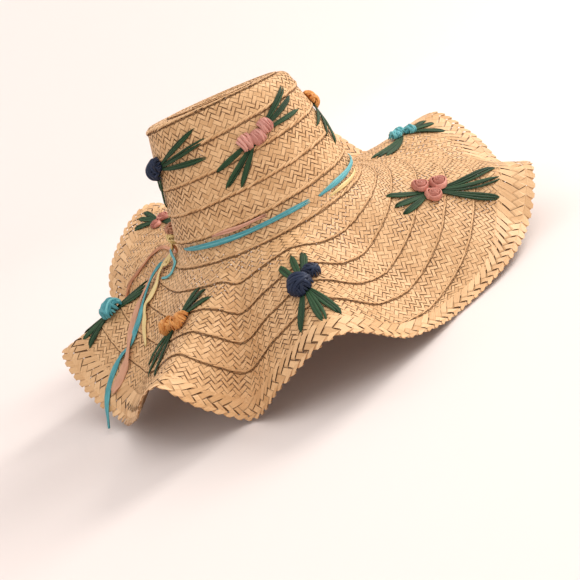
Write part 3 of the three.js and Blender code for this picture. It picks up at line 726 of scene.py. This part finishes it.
TAIL_STEPS = 40
TAIL_LIFT = 2.6
TAIL_DEPTH = 0.9
TAIL_CORNERS = 20
TAIL_PLEAT = 0.3
for name, colour, wide, halves, places in TAILS:
    route = smooth_route(places, TAIL_STEPS)
    facing = straw_facing(route[:, 0], route[:, 1])
    path = straw_middle(route[:, 0], route[:, 1]) + facing * (TAIL_LIFT + route[:, 2])[:, None]
    share = np.linspace(0, 1, TAIL_STEPS)
    crumple = 1 + 0.12 * np.sin(23 * share + 5 * np.sin(9 * share))
    half = np.interp(share, (0, 0.5, 1), halves) * crumple
    rolled = facing + np.cross(facing, np.gradient(path, axis=0)) * (0.12 * np.sin(17 * share))[:, None]
    strip = strip_rings(path, rolled, half, np.full(TAIL_STEPS, TAIL_DEPTH), TAIL_CORNERS, TAIL_PLEAT)
    tail = make_piece("raffia_tail_" + name, [stacked([strip])], raffia[colour], True)
    line = (path + SEAT) / 1000
    length = float(np.linalg.norm(np.diff(line, axis=0), axis=1).sum())
    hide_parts("tail_" + name)

TIE_AZIMUTH = -102.0
TIE_HEIGHT = 18.0
TIE_CLEAR = 1.6
TIE_BULGE = 1.5
TIE_KNOTS = (("peach", 6.0, -6.0), ("yellow", 6.5, 2.0))
tie_place = (np.array((TIE_AZIMUTH,)), np.array((down_from("crown", TIE_HEIGHT),)))
tie_facing = straw_facing(*tie_place)[0]
tie_foot = straw_middle(*tie_place)[0] + tie_facing * TIE_CLEAR
tie_out = straw_middle(tie_place[0], tie_place[1] + 1)[0] - straw_middle(*tie_place)[0]
tie_out /= np.linalg.norm(tie_out)
tie_side = np.cross(tie_out, tie_facing)
for colour, radius, shift in TIE_KNOTS:
    strips = wound_knot(tie_foot + tie_out * shift, tie_side, -tie_out, tie_facing * TIE_BULGE, "crossed",
                        radius)
    knot = make_piece("tie_knot_" + colour, [stacked(strips)], raffia[colour], True)
    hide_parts("tie_knot")

BOW_ROUTE = (
    (-102, -14, 8), (-99, -5, 7), (-94, 2, 5), (-90.5, 7, 4), (-92, 11, 4), (-97, 12, 4),
    (-100.5, 7, 5), (-102, -2, 7), (-103, -14, 8))
BOW_STEPS = 29
BOW_HALF = np.full(BOW_STEPS, 2.0)
BOW_DEPTH = np.full(BOW_STEPS, 0.8)
bow_route = smooth_route(BOW_ROUTE, BOW_STEPS)
bow_facing = straw_facing(bow_route[:, 0], bow_route[:, 1])
bow_path = straw_middle(bow_route[:, 0], bow_route[:, 1]) + bow_facing * bow_route[:, 2:]
bow_strip = strip_rings(bow_path, bow_facing, BOW_HALF, BOW_DEPTH, 12, 0.25)
bow = make_piece("tie_bow_yellow", [stacked([bow_strip])], raffia["yellow"], True)
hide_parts("tie_knot")

# Floor: a pale paper sheet that curves up behind the hat, as in a studio. The main light comes softly
# from the right and a little behind, a weaker one from the front, and a third falls on the sheet.
SHEET_HALF = 4.0
SHEET_BEND = 1.3
bend_turn = np.linspace(0, math.pi / 2, 25)
sheet_run = np.concatenate(((-SHEET_HALF,), SHEET_BEND + np.sin(bend_turn), (SHEET_BEND + 1,)))
sheet_rise = np.concatenate(((0.0,), 1 - np.cos(bend_turn), (SHEET_HALF,)))
sheet_points = []
for run, rise in zip(sheet_run, sheet_rise):
    sheet_points += [(-SHEET_HALF, run, rise), (SHEET_HALF, run, rise)]
sheet_faces = [(2 * k, 2 * k + 1, 2 * k + 3, 2 * k + 2) for k in range(len(sheet_run) - 1)]
sheet = bpy.data.meshes.new("floor")
sheet.from_pydata(sheet_points, [], sheet_faces)
sheet.shade_smooth()
floor = bpy.data.objects.new("floor", sheet)
bpy.context.collection.objects.link(floor)
paper = bpy.data.materials.new("Pale paper")
paper.use_nodes = True
paper_shader = paper.node_tree.nodes["Principled BSDF"]
paper_shader.inputs["Base Color"].default_value = (0.86, 0.79, 0.765, 1)
paper_shader.inputs["Roughness"].default_value = 0.9
floor.data.materials.append(paper)

world = bpy.data.worlds.new("Pale room")
world.use_nodes = True
room = world.node_tree.nodes["Background"]
room.inputs["Color"].default_value = (1.0, 0.955, 0.93, 1)
room.inputs["Strength"].default_value = 0.76
bpy.context.scene.world = world
bpy.context.scene.view_settings.view_transform = "Standard"


def soft_light(name, place, aim, size, power, colour):
    """A square lamp of this size in metres, turned towards a point."""
    lamp = bpy.data.lights.new(name, "AREA")
    lamp.size = size
    lamp.energy = power
    lamp.color = colour
    light = bpy.data.objects.new(name, lamp)
    light.location = place
    light.rotation_euler = (Vector(aim) - Vector(place)).to_track_quat("-Z", "Y").to_euler()
    bpy.context.collection.objects.link(light)


soft_light("key", (1.73, 0.6, 1.3), (0, 0, 0.1), 1.0, 34, (1.0, 0.96, 0.90))
soft_light("fill", (0.7, -1.0, 1.7), (0, 0, 0.1), 1.2, 11, (1.0, 0.96, 0.92))
soft_light("backdrop", (-1.6, 0.8, 1.9), (-1.2, 2.3, 0.8), 1.2, 12, (1.0, 0.94, 0.92))

# Camera: at the photograph's viewing angle, a little above the brim and looking down on it. It is
# rolled, so that the hat, which stands level, leans to the left as in the photograph.
CAMERA_SIGHT = math.radians(16.47)
CAMERA_ROLL = math.radians(25.84)
CAMERA_PLACE = (-0.0117, -0.8680, 0.2870)
SENSOR_WIDTH = 36
FOCAL_LENGTH = 58.81
across_view = Vector((1, 0, 0))
up_view = Vector((0, math.sin(CAMERA_SIGHT), math.cos(CAMERA_SIGHT)))
right = across_view * math.cos(CAMERA_ROLL) - up_view * math.sin(CAMERA_ROLL)
upward = across_view * math.sin(CAMERA_ROLL) + up_view * math.cos(CAMERA_ROLL)
lens = bpy.data.cameras.new("camera")
lens.sensor_fit = "HORIZONTAL"
lens.sensor_width = SENSOR_WIDTH
lens.lens = FOCAL_LENGTH
camera = bpy.data.objects.new("camera", lens)
camera_turn = Matrix((right, upward, right.cross(upward))).transposed()
camera.rotation_euler = camera_turn.to_euler()
camera.location = CAMERA_PLACE
bpy.context.collection.objects.link(camera)
bpy.context.scene.camera = camera
